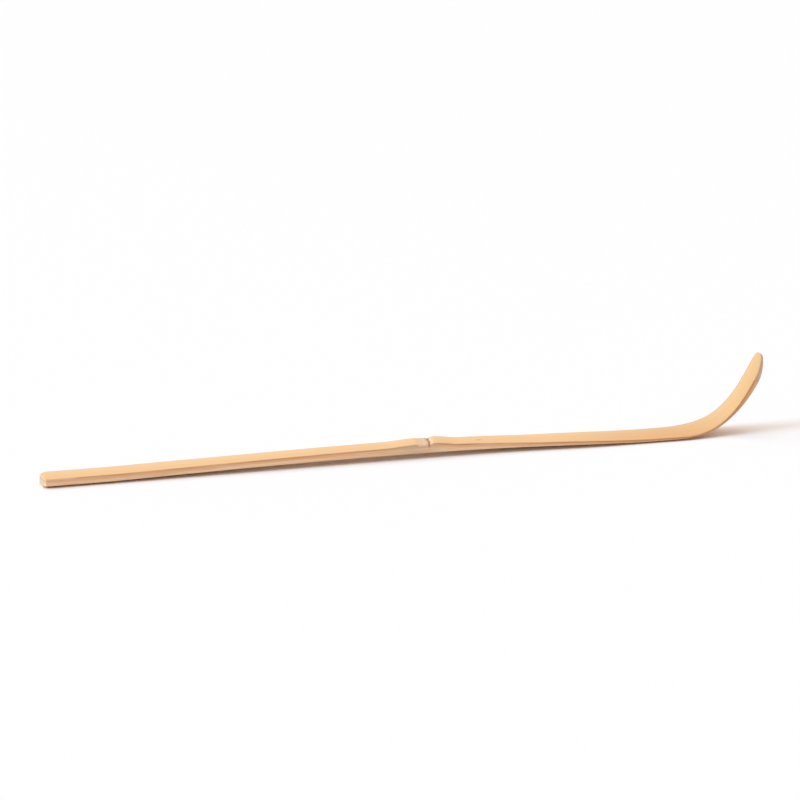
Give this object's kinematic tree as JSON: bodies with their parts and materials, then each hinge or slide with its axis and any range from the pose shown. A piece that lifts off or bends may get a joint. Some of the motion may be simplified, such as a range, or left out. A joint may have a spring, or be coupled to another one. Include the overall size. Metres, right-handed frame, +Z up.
{
  "type": "tea scoop",
  "caption": "Slender bamboo scoop for powdered tea: a thin arched strip with a stem node at its middle and a small blade bent steeply up at one end.",
  "frame": {"origin": "middle of the bottom of the scoop's box: under the middle of its length, on its symmetry plane, at table height", "axes": "+X along the strip from the butt end to the blade, +Y across the strip, +Z up, away from the table, on the skin side"},
  "size_m": [0.18, 0.009, 0.0186],
  "materials": {
    "bamboo": "planed bamboo, fine straight fibres, skin side satin, no varnish"
  },
  "bodies": {
    "root": {"tea_scoop": "bamboo"}
  },
  "joints": []
}
